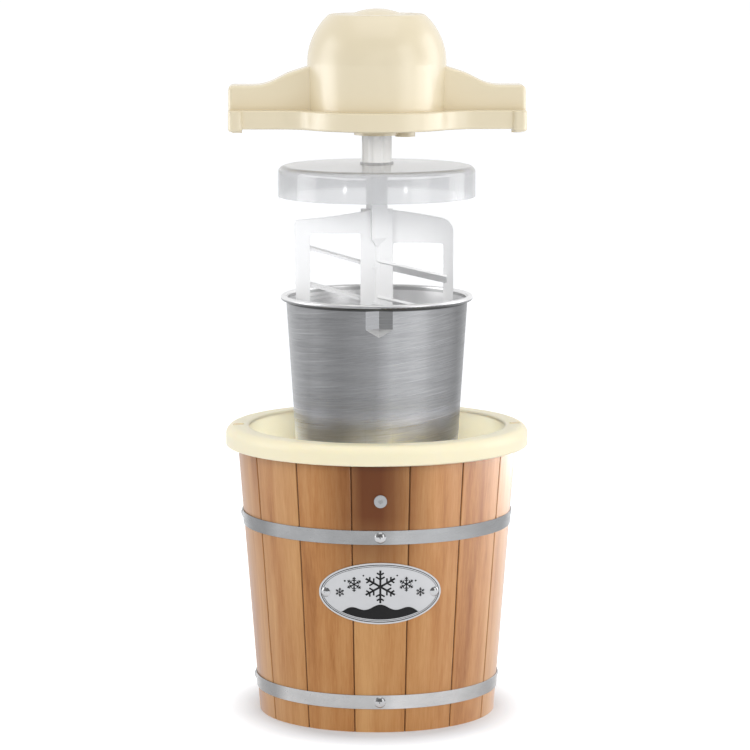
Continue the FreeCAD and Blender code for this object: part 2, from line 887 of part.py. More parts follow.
def dome_solid(inset, low):
    """Upright motor dome with a bent shoulder."""
    foot = dome_foot_radius - inset
    side = dome_side_radius - inset
    bend = dome_arc_radius - inset
    bend_x = dome_side_radius - dome_arc_radius
    bend_z = band_top + dome_side_height
    top = band_top + dome_height - inset
    rise = math.asin((top - bend_z) / bend)
    shoulder = bend_x + bend * math.cos(rise)
    middle = Vector(bend_x + bend * math.cos(rise / 2), 0, bend_z + bend * math.sin(rise / 2))
    corners = [
        Vector(shoulder, 0, top), Vector(0, 0, top), Vector(0, 0, low),
        Vector(foot, 0, low), Vector(foot, 0, band_top), Vector(side, 0, bend_z),
    ]
    edges = [Part.LineSegment(a, b).toShape() for a, b in zip(corners, corners[1:]) if a != b]
    edges.append(Part.Arc(corners[-1], middle, corners[0]).toShape())
    dome = Part.Face(Part.Wire(edges)).revolve(Vector(0, 0, 0), Vector(0, 0, 1), 360)
    round_radius = dome_corner_radius - inset
    rims = [e for e in dome.Edges if abs(e.BoundBox.ZMin - top) < 0.01 and e.BoundBox.XLength > shoulder]
    return dome.makeFillet(round_radius, rims)


def fin_solid(inset):
    """Web that runs out from the dome along one arm of the beam."""
    span = beam_half_span - cover_clearance - inset
    hollow = beam_half_span - fin_hollow_inset
    bend = beam_half_span - fin_bend_inset
    depth = fin_half_depth - inset
    low = band_top if inset == 0 else flange_low
    outline = [
        (0, low),
        (span, low),
        (span, band_top + fin_tip_height - inset, dome_corner_radius - inset),
        (hollow, band_top + fin_tip_height - inset, fin_hollow_curve),
        (bend, band_top + fin_bend_height - inset, fin_bend_curve),
        (dome_foot_radius - housing_wall, band_top + fin_root_height - inset),
        (0, band_top + fin_root_height - inset),
    ]
    face = Part.Face(rounded_outline(outline, upright))
    fin = face.extrude(Vector(0, 2 * depth, 0))
    fin.translate(Vector(0, -depth, 0))
    return fin


def rounded_fin():
    """Fin with its long outside edges rounded."""
    fin = fin_solid(0)
    long_edges = []
    for edge in fin.Edges:
        box = edge.BoundBox
        flat = box.YLength < 0.01 and box.ZMax > band_top + 0.01
        if flat and box.XMax > 0.01 and box.XMax > dome_foot_radius - housing_wall + 0.01:
            long_edges.append(edge)
    return fin.makeFillet(fin_edge_radius, long_edges)


# Motor cover: dome, crown, fins and the flange that drops into the base
crown = moved(domed_head(crown_radius, crown_height), 0, 0, band_top + dome_height)
flange = beam(housing_wall + cover_clearance, flange_low, band_top)
motor_cover = joined([dome_solid(0, band_top), crown, flange] + around(rounded_fin(), 2))
motor_cover = motor_cover.cut([dome_solid(housing_wall, flange_low)] + around(fin_solid(housing_wall), 2))
vent = block(
    vent_inner_radius, vent_outer_radius, -vent_width / 2, vent_width / 2,
    band_top + dome_height - 2 * housing_wall, band_top + dome_height + housing_wall,
)
cover_bosses = []
pilot_holes = []
for x, y in screw_places:
    on_fin = abs(y) < 0.01
    boss_top = band_top + fin_tip_height - housing_wall / 2 if on_fin else carrier_low - rest_clearance
    cover_bosses.append(cylinder(boss_radius, flange_low, boss_top, x, y))
    pilot_holes.append(cylinder(screw_radius, flange_low, flange_low + pilot_depth, x, y))
vents = []
for number in range(vent_count):
    vents += around(vent, 2, vent_spacing * (number - (vent_count - 1) / 2))
motor_cover = joined([motor_cover] + cover_bosses).cut(pilot_holes + vents)
cover_screw = pan_screw(flange_low - counterbore_top + pilot_depth - rest_clearance)
cover_screws = Part.makeCompound([moved(cover_screw, x, y, counterbore_top) for x, y in screw_places])


# Gears
def gear(teeth, module, tooth_angle, low, high):
    """Involute spur gear with one tooth standing at the given angle."""
    pitch = teeth * module / 2
    tip = pitch + module
    root = pitch - dedendum * module
    base = pitch * math.cos(math.radians(pressure_angle))
    start = max(base, root)

    def involute(radius):
        angle = math.acos(min(1.0, base / radius))
        return math.tan(angle) - angle

    half_pitch = (math.pi * module / 2 - gear_backlash) / (2 * pitch)
    flank = []
    for step in range(flank_steps + 1):
        radius = start + (tip - start) * step / flank_steps
        flank.append((radius, half_pitch + involute(pitch) - involute(radius)))
    flank.insert(0, (root, flank[0][1]))
    points = []
    for tooth in range(teeth):
        centre = math.radians(tooth_angle + 360.0 * tooth / teeth)
        for radius, half in flank:
            points.append(Vector(radius * math.cos(centre - half), radius * math.sin(centre - half), low))
        for radius, half in reversed(flank):
            points.append(Vector(radius * math.cos(centre + half), radius * math.sin(centre + half), low))
    outline = Part.makePolygon(points + [points[0]])
    return Part.Face(outline).extrude(Vector(0, 0, high - low))


output_gear = gear(output_teeth, output_module, 0, output_low, output_high)
drive_hub = joined([output_gear, cylinder(hub_radius, hub_low, hub_top)])
drive_socket = turned_copy(fluted_bar(spline_clearance, hub_low, socket_top), dasher_turn)
drive_hub = drive_hub.cut(drive_socket)
small_phase = 180.0 + 180.0 / idler_small_teeth
idler_small = gear(idler_small_teeth, output_module, small_phase, output_low, idler_big_low)
idler_big = gear(idler_big_teeth, pinion_module, 180.0, idler_big_low, idler_big_high)
idler_bore = cylinder(axle_radius + run_clearance, output_low, idler_big_high)
idler_gear = moved(joined([idler_small, idler_big]).cut(idler_bore), idler_x, 0, 0)
idler_axle = cylinder(axle_radius, axle_low, carrier_high, idler_x)

# Carrier plate on the four posts
gear_plate = cylinder(gear_plate_radius, carrier_low, carrier_high)
plate_cuts = [
    cylinder(bush_radius + hole_clearance, carrier_low, carrier_high),
    cylinder(axle_radius, carrier_low, carrier_high, idler_x),
]
plate_cuts += [
    cylinder(screw_radius + hole_clearance, carrier_low, carrier_high, x, y) for x, y in post_places
]
motor_screw_places = [(0, motor_screw_offset), (0, -motor_screw_offset)]
plate_cuts += [
    cylinder(screw_radius + hole_clearance, carrier_low, carrier_high, x, y) for x, y in motor_screw_places
]
gear_plate = gear_plate.cut(plate_cuts)
post_screw = pan_screw(post_screw_depth + gear_plate_thickness - rest_clearance)
post_screw.rotate(Vector(0, 0, 0), Vector(1, 0, 0), 180)
plate_screws = Part.makeCompound([moved(post_screw, x, y, carrier_high) for x, y in post_places])

# Motor: end bell, can, magnets, bushes
bell_high = carrier_high + bell_thickness
frame_high = bell_high + motor_length
motor_end_bell = cylinder(motor_radius, carrier_high, bell_high)
bell_cuts = [cylinder(bush_radius, carrier_high, bell_high)]
bell_cuts += [cylinder(screw_radius, carrier_high, bell_high, x, y) for x, y in motor_screw_places]
motor_end_bell = motor_end_bell.cut(bell_cuts)
motor_screw = pan_screw(gear_plate_thickness + bell_thickness - rest_clearance)
motor_screws = Part.makeCompound([moved(motor_screw, x, y, carrier_low) for x, y in motor_screw_places])
motor_bore = motor_radius - motor_wall
motor_frame = cylinder(motor_radius, bell_high, frame_high)
motor_frame = motor_frame.cut([
    cylinder(motor_bore, bell_high, frame_high - motor_wall),
    cylinder(bush_radius, frame_high - motor_wall, frame_high),
])
core_low = bell_high + (motor_length - motor_wall - core_length) / 2
magnet_ring = tube(motor_bore, motor_bore - magnet_thickness, core_low, core_low + core_length)
magnet_gap = block(
    -magnet_thickness, magnet_thickness, -motor_radius, motor_radius, core_low, core_low + core_length
)
motor_magnets = magnet_ring.cut(magnet_gap)
shaft_bushes = Part.makeCompound([
    tube(bush_radius, shaft_radius + run_clearance, carrier_low, carrier_low + bush_length),
    tube(
        bush_radius, shaft_radius + run_clearance,
        frame_high - bush_length + motor_wall, frame_high + motor_wall,
    ),
])

# Rotor: shaft, pinion, wound core and cooling fan
shaft_low = hub_top + rest_clearance
fan_low = frame_high + 2 * motor_wall
fan_high = fan_low + fan_height
motor_shaft = cylinder(shaft_radius, shaft_low, fan_high)
pinion_high = carrier_low - rest_clearance
pinion_phase = 180.0 / pinion_teeth
motor_pinion = gear(pinion_teeth, pinion_module, pinion_phase, idler_big_low, pinion_high)
motor_pinion = motor_pinion.cut(cylinder(shaft_radius, idler_big_low, pinion_high))
core_slot = block(
    core_radius / 2, 2 * core_radius, -core_radius / 9, core_radius / 9, core_low, core_low + core_length
)
armature = cylinder(core_radius, core_low, core_low + core_length).cut(around(core_slot, core_slots))
armature = armature.cut(cylinder(shaft_radius, core_low, core_low + core_length))
fan_blade = block(
    shaft_radius + fan_hub_wall / 2, fan_radius,
    -fan_blade_thickness / 2, fan_blade_thickness / 2, fan_low, fan_high,
)
cooling_fan = joined([
    cylinder(fan_radius, fan_low, fan_low + fan_blade_thickness),
    cylinder(shaft_radius + fan_hub_wall, fan_low, fan_high),
] + around(fan_blade, fan_blades)).cut(cylinder(shaft_radius, fan_low, fan_high))

# Every piece with the height that the layout raises it by
head_lift = can_display_lift + head_display_lift
bucket_pieces = {
    "bucket_bottom": bucket_bottom,
    "ice_liner": ice_liner,
    "liner_rim": liner_rim,
    "liner_floor": liner_floor,
    "lower_hoop": lower_hoop,
    "upper_hoop": upper_hoop,
    "hoop_rivets": hoop_rivets,
    "badge_plate": badge_plate,
    "badge_screws": badge_screws,
    "drain_bush": drain_bush,
}
for number, piece in enumerate(staves, start=1):
    bucket_pieces["stave_%02d" % number] = piece
head_pieces = {
    "lid": lid,
    "dasher": dasher,
    "motor_cover": motor_cover,
    "motor_base": motor_base,
    "cover_screws": cover_screws,
    "cord_gland": cord_gland,
    "gear_plate": gear_plate,
    "plate_screws": plate_screws,
    "motor_end_bell": motor_end_bell,
    "motor_screws": motor_screws,
    "motor_frame": motor_frame,
    "motor_magnets": motor_magnets,
    "shaft_bushes": shaft_bushes,
    "idler_axle": idler_axle,
    "drive_hub": drive_hub,
    "idler_gear": idler_gear,
    "motor_shaft": motor_shaft,
    "motor_pinion": motor_pinion,
    "armature": armature,
    "cooling_fan": cooling_fan,
}
os.makedirs("parts", exist_ok=True)
for lift, pieces in ((0, bucket_pieces), (can_display_lift, {"can": can}), (head_lift, head_pieces)):
    for name, piece in pieces.items():
        placed = moved(piece, 0, 0, lift)
        placed.exportStep("parts/%s.step" % name)
        facts = (name, len(placed.Solids), placed.Volume, placed.isValid())
        print("%-16s %d solids %12.1f mm3 valid %s" % facts)
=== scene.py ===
import math

import bpy
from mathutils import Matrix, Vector


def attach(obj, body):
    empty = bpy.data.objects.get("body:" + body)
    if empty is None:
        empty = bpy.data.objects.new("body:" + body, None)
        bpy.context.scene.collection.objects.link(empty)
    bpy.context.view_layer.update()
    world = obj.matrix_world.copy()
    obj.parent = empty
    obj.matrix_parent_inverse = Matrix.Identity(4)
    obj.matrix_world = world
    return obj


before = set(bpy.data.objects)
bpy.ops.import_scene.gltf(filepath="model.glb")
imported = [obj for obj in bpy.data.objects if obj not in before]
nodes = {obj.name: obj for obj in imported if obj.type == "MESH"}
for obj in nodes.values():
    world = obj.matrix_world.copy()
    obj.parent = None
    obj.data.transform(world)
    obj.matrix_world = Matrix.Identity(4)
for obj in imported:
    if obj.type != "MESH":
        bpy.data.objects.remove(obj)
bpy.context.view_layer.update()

scene = bpy.context.scene
scene.view_settings.view_transform = "Standard"

# Camera: far away and a little above, fitted to the photograph's frame
CAMERA_DISTANCE = 3.4
CAMERA_HEIGHT = 0.787
CAMERA_TARGET = 0.31809
CAMERA_TURN = math.radians(1.5)
FOCAL_PIXELS = 3641.0
PHOTO_SIZE = 750.0
SENSOR_WIDTH = 36.0
AXIS_PIXEL = 376.8

camera_data = bpy.data.cameras.new("camera")
camera_data.sensor_width = SENSOR_WIDTH
camera_data.lens = FOCAL_PIXELS / PHOTO_SIZE * SENSOR_WIDTH
camera_data.shift_x = (PHOTO_SIZE / 2 - AXIS_PIXEL) / PHOTO_SIZE
camera_data.clip_start = 0.05
camera_data.clip_end = 200.0
camera_data.dof.use_dof = False
camera = bpy.data.objects.new("camera", camera_data)
scene.collection.objects.link(camera)
camera.location = (
    -CAMERA_DISTANCE * math.sin(CAMERA_TURN),
    -CAMERA_DISTANCE * math.cos(CAMERA_TURN),
    CAMERA_HEIGHT,
)
aim = Vector((0, 0, CAMERA_TARGET)) - camera.location
camera.rotation_mode = "QUATERNION"
camera.rotation_quaternion = aim.to_track_quat("-Z", "Y")
scene.camera = camera


# Range that noise keeps to for the most part
NOISE_LOW = 0.3
NOISE_HIGH = 0.7
# Scale that drops height, so that only the place round the axis counts
FLAT = (1, 1, 0)


def grey(level):
    """Colour with one level in all three channels."""
    return (level, level, level)


class Look:
    """A material's node tree, built one node at a time."""

    def __init__(self, name):
        self.material = bpy.data.materials.new(name)
        self.material.use_nodes = True
        self.tree = self.material.node_tree
        self.tree.nodes.clear()
        self.coords = self.add("ShaderNodeTexCoord").outputs["Object"]

    def add(self, kind, inputs=None, **settings):
        """One node, with each input linked to a socket or set to a value."""
        node = self.tree.nodes.new(kind)
        for name, value in settings.items():
            setattr(node, name, value)
        for name, value in (inputs or {}).items():
            if isinstance(value, bpy.types.NodeSocket):
                self.tree.links.new(value, node.inputs[name])
            else:
                node.inputs[name].default_value = value
        return node

    def stretched(self, scale, shift=(0, 0, 0), turn=0.0, tilt=0.0):
        """Object coordinates tilted about Y, turned about Z, shifted and scaled along each axis."""
        turned = self.add("ShaderNodeMapping", {
            "Vector": self.coords, "Location": shift, "Rotation": (0, tilt, turn),
        })
        spread = self.add("ShaderNodeVectorMath", {0: turned.outputs[0], 1: scale}, operation="MULTIPLY")
        return spread.outputs[0]

    def split(self, vector):
        """X, Y and Z of a vector."""
        return self.add("ShaderNodeSeparateXYZ", {0: vector}).outputs

    def noise(self, vector, detail, roughness, distortion=0.0):
        """Smooth noise, mostly between NOISE_LOW and NOISE_HIGH."""
        node = self.add("ShaderNodeTexNoise", {
            "Vector": vector, "Scale": 1.0, "Detail": detail, "Roughness": roughness,
            "Distortion": distortion,
        })
        return node.outputs["Fac"]

    def ramp(self, factor, stops):
        """Colour that runs through (place, colour) stops."""
        node = self.add("ShaderNodeValToRGB", {"Fac": factor})
        elements = node.color_ramp.elements
        while len(elements) < len(stops):
            elements.new(0.5)
        for element, (place, colour) in zip(elements, stops):
            element.position = place
            element.color = (*colour, 1.0)
        return node.outputs["Color"]

    def blend(self, factor, first, second, mode="MIX"):
        """Mix of two colours, each a socket or a fixed colour."""
        node = self.add("ShaderNodeMix", data_type="RGBA", blend_type=mode)
        for socket, value in ((node.inputs[0], factor), (node.inputs[6], first), (node.inputs[7], second)):
            if isinstance(value, bpy.types.NodeSocket):
                self.tree.links.new(value, socket)
            elif isinstance(value, (int, float)):
                socket.default_value = value
            else:
                socket.default_value = (*value, 1.0)
        return node.outputs[2]

    def span(self, value, low, high, to_low, to_high):
        """Value carried from one range to another, held at its ends."""
        node = self.add("ShaderNodeMapRange", {
            "Value": value, "From Min": low, "From Max": high, "To Min": to_low, "To Max": to_high,
        })
        return node.outputs[0]

    def vary(self, noise, low, high):
        """Value that follows a noise between two levels."""
        return self.span(noise, NOISE_LOW, NOISE_HIGH, low, high)

    def length(self, vector):
        """Distance from the origin."""
        node = self.add("ShaderNodeVectorMath", {0: vector}, operation="LENGTH")
        return node.outputs["Value"]

    def dot(self, first, second):
        """How far two vectors point the same way."""
        node = self.add("ShaderNodeVectorMath", {0: first, 1: second}, operation="DOT_PRODUCT")
        return node.outputs["Value"]

    def math(self, operation, *values):
        node = self.add("ShaderNodeMath", dict(enumerate(values)), operation=operation)
        return node.outputs[0]

    def bump(self, height, strength, distance):
        """Normal that follows a height."""
        node = self.add("ShaderNodeBump", {"Height": height, "Strength": strength, "Distance": distance})
        return node.outputs[0]

    def finish(self, **inputs):
        """Closes the tree with one shader and returns the material."""
        named = {key.replace("_", " "): value for key, value in inputs.items()}
        for key, value in named.items():
            if isinstance(value, tuple) and key.endswith("Color"):
                named[key] = (*value, 1.0)
        shader = self.add("ShaderNodeBsdfPrincipled", named)
        output = self.add("ShaderNodeOutputMaterial")
        self.tree.links.new(shader.outputs[0], output.inputs["Surface"])
        return self.material


def dress(material, *names):
    """Gives CAD pieces their finished material."""
    for name in names:
        slots = nodes[name].data.materials
        slots.clear()
        slots.append(material)


# Wood: straight grain along each stave, every stave cut from another place
STAVES = 15
STAVE_STEP = 2 * math.pi / STAVES
FRONT = -math.pi / 2
WOOD_DARK = (0.24, 0.080, 0.015)
WOOD_MIDDLE = (0.41, 0.180, 0.056)
WOOD_LIGHT = (0.54, 0.290, 0.115)
# Dark stain at the front, darkened further with painted shade below the rim
WOOD_STAIN_AND_SHADE = (0.105, 0.024, 0.002)
WOOD_JOINT = (0.07, 0.024, 0.007)
BROAD_GRAIN = (26, 26, 1.6)
BAND_GRAIN = (110, 110, 2.4)
FIBRE_GRAIN = (900, 900, 14)
BAND_WEIGHT = 0.6
FIBRE_WEIGHT = 0.30
GRAIN_LOW = 0.60
GRAIN_HIGH = 1.20
STAVE_SHIFT = (0.31, 0.17, 0.53)
TONE_SWING = 0.05
TONE_STEP = 2.4
TONE_START = 0.8
JOINT_START = 0.966
JOINT_END = 0.992
JOINT_STRENGTH = 0.92
# Where the stain and its painted shade lie: across, upwards towards the rim and on the front only
STAIN_SHADE_CENTRE = -0.0045
STAIN_SHADE_WANDER = 0.03
STAIN_SHADE_CORE = 0.008
STAIN_SHADE_REACH = 0.056
STAIN_SHADE_LOW = 0.105
STAIN_SHADE_HIGH = 0.205
STAIN_SHADE_DEPTH = 0.02
STAIN_SHADE_STRENGTH = 0.96
FIBRE_BUMP = 0.12
FIBRE_DEPTH = 0.0004
BOARD_BANDS = (4, 90, 90)
BOARD_FIBRE = (14, 900, 900)
BOARD_FIBRE_WEIGHT = 0.2
BOARD_GRAIN_LOW = 0.35
BOARD_GRAIN_HIGH = 0.85


def stain_and_shade_share(look, broad):
    """Share of dark stain and painted shade below the rim, at the front round the drain, which fades to both
    sides and downwards.
    """
    place = look.split(look.coords)
    wander = look.math("MULTIPLY_ADD", broad, STAIN_SHADE_WANDER, place["X"])
    aside = look.math("ABSOLUTE", look.math("ADD", wander, -STAIN_SHADE_WANDER / 2 - STAIN_SHADE_CENTRE))
    across = look.span(aside, STAIN_SHADE_CORE, STAIN_SHADE_REACH, STAIN_SHADE_STRENGTH, 0.0)
    upward = look.span(place["Z"], STAIN_SHADE_LOW, STAIN_SHADE_HIGH, 0.0, 1.0)
    forward = look.span(place["Y"], -STAIN_SHADE_DEPTH, STAIN_SHADE_DEPTH, 1.0, 0.0)
    return look.math("MULTIPLY", across, look.math("MULTIPLY", upward, forward))


def joint_share(look, angle):
    """Share of dark joint along both edges of the stave at an angle."""
    local = look.split(look.stretched((1, 1, 1), turn=-angle))
    slope = look.math("DIVIDE", look.math("ABSOLUTE", local["Y"]), local["X"])
    edge = math.tan(STAVE_STEP / 2)
    return look.span(slope, edge * JOINT_START, edge * JOINT_END, 0.0, JOINT_STRENGTH)


def stave_wood(number):
    """Varnished wood of one stave."""
    look = Look("wood_%02d" % (number + 1))
    angle = FRONT + STAVE_STEP * number
    shift = tuple(step * number for step in STAVE_SHIFT)
    broad = look.noise(look.stretched(BROAD_GRAIN, shift, -angle), detail=3.0, roughness=0.5, distortion=0.4)
    bands = look.noise(look.stretched(BAND_GRAIN, shift, -angle), detail=4.0, roughness=0.6, distortion=0.3)
    fibre = look.noise(look.stretched(FIBRE_GRAIN, shift, -angle), detail=2.0, roughness=0.6)
    tone = TONE_SWING * math.sin(TONE_STEP * number + TONE_START)
    mixed = look.math("MULTIPLY_ADD", bands, BAND_WEIGHT, broad)
    level = look.math("MULTIPLY_ADD", fibre, FIBRE_WEIGHT, mixed)
    colour = look.ramp(look.span(level, GRAIN_LOW - tone, GRAIN_HIGH - tone, 0.0, 1.0), [
        (0.0, WOOD_DARK), (0.45, WOOD_MIDDLE), (1.0, WOOD_LIGHT),
    ])
    # Dark stain mixed with painted shade below the rim
    colour = look.blend(stain_and_shade_share(look, broad), colour, WOOD_STAIN_AND_SHADE)
    colour = look.blend(joint_share(look, angle), colour, WOOD_JOINT)
    return look.finish(
        Base_Color=colour,
        Roughness=look.vary(fibre, 0.40, 0.54),
        Normal=look.bump(fibre, FIBRE_BUMP, FIBRE_DEPTH),
        Specular_IOR_Level=0.08,
        Coat_Weight=1.0,
        Coat_IOR=1.25,
        Coat_Roughness=0.34,
    )


for number in range(STAVES):
    dress(stave_wood(number), "stave_%02d" % (number + 1))


def board_wood():
    """Plain board that closes the bucket underneath."""
    look = Look("wood_board")
    bands = look.noise(look.stretched(BOARD_BANDS), detail=4.0, roughness=0.6, distortion=0.3)
    fibre = look.noise(look.stretched(BOARD_FIBRE), detail=2.0, roughness=0.6)
    level = look.math("MULTIPLY_ADD", fibre, BOARD_FIBRE_WEIGHT, bands)
    share = look.span(level, BOARD_GRAIN_LOW, BOARD_GRAIN_HIGH, 0.0, 1.0)
    return look.finish(
        Base_Color=look.ramp(share, [(0.0, WOOD_DARK), (1.0, WOOD_LIGHT)]),
        Roughness=0.6,
        Normal=look.bump(fibre, FIBRE_BUMP, FIBRE_DEPTH),
    )


dress(board_wood(), "bucket_bottom")

# Plastics: the two creams, the white of dasher and gears, drain and fan
MOTTLE_GRAIN = (9, 9, 9)
SKIN_GRAIN = (400, 400, 400)
SKIN_SWING = 0.06
SKIN_BUMP = 0.02
SKIN_DEPTH = 0.0001


def plastic(name, colour, shade, roughness, **extra):
    """Moulded plastic with a faint mottle and a fine skin."""
    look = Look(name)
    mottle = look.noise(look.stretched(MOTTLE_GRAIN), detail=3.0, roughness=0.5)
    skin = look.noise(look.stretched(SKIN_GRAIN), detail=2.0, roughness=0.5)
    return look.finish(
        Base_Color=look.blend(mottle, colour, shade),
        Roughness=look.vary(skin, roughness * (1 - SKIN_SWING), roughness * (1 + SKIN_SWING)),
        Normal=look.bump(skin, SKIN_BUMP, SKIN_DEPTH),
        **extra,
    )


RIM_CREAM = (0.92, 0.81, 0.57)
RIM_SHADE = (0.90, 0.78, 0.53)
HEAD_CREAM = (0.80, 0.70, 0.50)
HEAD_SHADE = (0.775, 0.675, 0.475)
LINER_CREAM = (0.96, 0.85, 0.56)
LINER_SHADE = (0.95, 0.83, 0.53)
rim_plastic = plastic(
    "rim_plastic", RIM_CREAM, RIM_SHADE, 0.36,
    Subsurface_Weight=0.35, Subsurface_Radius=(0.02, 0.014, 0.008), Subsurface_Scale=0.6,
)
head_plastic = plastic("head_plastic", HEAD_CREAM, HEAD_SHADE, 0.38, Coat_Weight=0.8, Coat_Roughness=0.24)
liner_plastic = plastic(
    "liner_plastic", LINER_CREAM, LINER_SHADE, 0.40,
    Subsurface_Weight=0.5, Subsurface_Radius=(0.03, 0.024, 0.016), Subsurface_Scale=0.8,
)
dress(rim_plastic, "liner_rim")
dress(liner_plastic, "ice_liner", "liner_floor")
dress(head_plastic, "motor_cover", "motor_base", "cord_gland")
dasher_plastic = plastic(
    "dasher_plastic", grey(0.92), (0.90, 0.90, 0.905), 0.36, Transmission_Weight=0.08, IOR=1.3,
)
dress(dasher_plastic, "dasher")
dress(plastic("gear_plastic", (0.80, 0.80, 0.77), (0.76, 0.76, 0.73), 0.40), "drive_hub", "idler_gear")
dress(plastic("drain_plastic", (0.40, 0.405, 0.41), (0.35, 0.355, 0.36), 0.45), "drain_bush")
dress(plastic("fan_plastic", grey(0.05), grey(0.07), 0.5), "cooling_fan")

# Metals: small steel parts, plates, bronze, iron and the oval plate
METAL_CLOUD = (14, 14, 14)
METAL_BUMP = 0.02
METAL_DEPTH = 0.0003


def metal(name, colour, shade, rough_low, rough_high, scale):
    """Metal whose tone drifts in clouds and whose sheen follows a grain."""
    look = Look(name)
    grain = look.noise(look.stretched(scale), detail=5.0, roughness=0.62)
    cloud = look.noise(look.stretched(METAL_CLOUD), detail=3.0, roughness=0.5)
    return look.finish(
        Base_Color=look.blend(cloud, colour, shade),
        Metallic=1.0,
        Roughness=look.vary(grain, rough_low, rough_high),
        Normal=look.bump(grain, METAL_BUMP, METAL_DEPTH),
    )


FINE_GRAIN = (200, 200, 200)
BRIGHT_GRAIN = (300, 300, 300)
PLATE_GRAIN = (400, 400, 400)
bright_steel = metal("bright_steel", (0.47, 0.47, 0.475), (0.39, 0.39, 0.395), 0.12, 0.20, BRIGHT_GRAIN)
plate_steel = metal("plate_steel", (0.50, 0.50, 0.51), (0.45, 0.45, 0.46), 0.30, 0.45, FINE_GRAIN)
bronze = metal("bronze", (0.60, 0.40, 0.18), (0.54, 0.35, 0.15), 0.30, 0.42, FINE_GRAIN)
dark_iron = metal("dark_iron", (0.12, 0.11, 0.10), (0.09, 0.085, 0.08), 0.45, 0.6, FINE_GRAIN)
badge_silver = metal("badge_silver", (0.52, 0.52, 0.525), (0.45, 0.45, 0.455), 0.34, 0.44, PLATE_GRAIN)
dress(bright_steel, "hoop_rivets", "badge_screws", "cover_screws", "plate_screws", "motor_screws")
dress(bright_steel, "motor_shaft", "idler_axle")
dress(plate_steel, "gear_plate", "motor_end_bell", "motor_frame")
dress(bronze, "shaft_bushes", "motor_pinion")
dress(dark_iron, "motor_magnets", "armature")
dress(badge_silver, "badge_plate")

# Hoops: zinc clouds, with a painted reflection tone from the left end to the right: dark ends, brighter
# middle
HOOP_GRAIN = (60, 60, 600)
HOOP_CLOUD = (30, 30, 60)
HOOP_CLOUD_DARK = 0.84
# Brightness of each hoop's painted reflection; the lower hoop paints in more of the bright floor that it
# mirrors
UPPER_HOOP_SHINE = 1.06
LOWER_HOOP_SHINE = 1.56
HOOP_REFLECTION_TONES = [
    (0.02, 0.13), (0.08, 0.18), (0.13, 0.30), (0.50, 0.255),
    (0.56, 0.335), (0.80, 0.32), (0.90, 0.24), (0.98, 0.13),
]


def galvanised_steel(name, shine):
    """Hoop steel with zinc clouds and a painted reflection tone from the left end to the right."""
    look = Look(name)
    grain = look.noise(look.stretched(HOOP_GRAIN), detail=5.0, roughness=0.62)
    cloud = look.noise(look.stretched(HOOP_CLOUD), detail=4.0, roughness=0.6)
    across = look.split(look.coords)["X"]
    reach = look.length(look.stretched(FLAT))
    share = look.span(look.math("DIVIDE", across, reach), -1.0, 1.0, 0.0, 1.0)
    # Painted reflection: tone set by place, from the left end to the right
    tone = look.ramp(share, [(place, grey(level * shine)) for place, level in HOOP_REFLECTION_TONES])
    clouds = look.ramp(look.vary(cloud, 0.0, 1.0), [(0.0, grey(HOOP_CLOUD_DARK)), (1.0, grey(1.0))])
    return look.finish(
        Base_Color=look.blend(1.0, tone, clouds, "MULTIPLY"),
        Metallic=1.0,
        Roughness=look.vary(grain, 0.16, 0.30),
        Normal=look.bump(grain, METAL_BUMP, METAL_DEPTH),
    )


dress(galvanised_steel("upper_hoop_steel", UPPER_HOOP_SHINE), "upper_hoop")
dress(galvanised_steel("lower_hoop_steel", LOWER_HOOP_SHINE), "lower_hoop")

# Can: handled aluminium, with a painted reflection tone on its outside from left to right
CAN_HALF_WIDTH = 0.085
CAN_REFLECTION_TONES = [
    (0.00, 0.43), (0.12, 0.245), (0.30, 0.225), (0.48, 0.28),
    (0.57, 0.42), (0.75, 0.40), (0.93, 0.16), (1.0, 0.20),
]
CAN_COOL = 1.01
CAN_INSIDE = (0.93, 0.93, 0.935)
CAN_INSIDE_EDGE = 0.02
# Painted light on the bead: dark where it faces down, bright where it faces up
CAN_BEAD_PAINTED_LIGHT = [(0.25, grey(0.10)), (0.45, grey(0.34)), (0.62, (0.88, 0.88, 0.885))]
CAN_BEAD_LOW = 0.3896
CAN_BEAD_EDGE = 0.0004
# Painted light: the foot of the can brightened towards its bottom
CAN_FOOT_LOW = 0.262
CAN_FOOT_HIGH = 0.297
CAN_FOOT_PAINTED_LIGHT = (3.1, 3.15, 3.55)
CAN_PALEST = grey(0.92)
# Painted shadow: a dark line just under the bead
CAN_BEAD_SHADOW = grey(0.05)
CAN_BEAD_SHADOW_DEEP = 0.0018
CAN_BEAD_SHADOW_RISE = 0.0010
DENT_HALF_WIDTH = 0.0125
DENT_EDGE = 0.001
# Painted light: the dent's sides lit and shaded, its floor a painted glint
DENT_LEFT_LIGHT = (0.30, 0.30, 0.305)
DENT_RIGHT_SHADE = grey(0.17)
DENT_FLOOR_GLINT = grey(0.78)
DENT_SIDE_LOW = 0.15
DENT_SIDE_HIGH = 0.3
DENT_FLOOR_LOW = 0.3
DENT_FLOOR_HIGH = 0.45
# Layers of scratches, which run round the can at a slight tilt
CAN_FINE = {"scale": (7, 7, 900), "tilt": 0.08}
CAN_COARSE = {"scale": (4, 4, 160), "tilt": -0.05}
CAN_SCUFFS = {"scale": (40, 40, 320), "shift": (0.2, 0.1, 0.0), "tilt": 0.2}
CAN_SCRATCHES = {"scale": (9, 9, 1300), "shift": (0.4, 0.3, 0.1), "tilt": 0.16}
COARSE_WEIGHT = 0.5
SCUFF_WEIGHT = 0.6
SCRATCH_WEIGHT = 0.35
SCRATCH_START = 0.58
SCRATCH_END = 0.70
SCRATCHED_LOW = 0.75
SCRATCHED_HIGH = 1.55
SCRATCHED_DARK = 0.60
SCRATCHED_LIGHT = 1.06
CAN_BUMP = 0.10
CAN_DEPTH = 0.0002


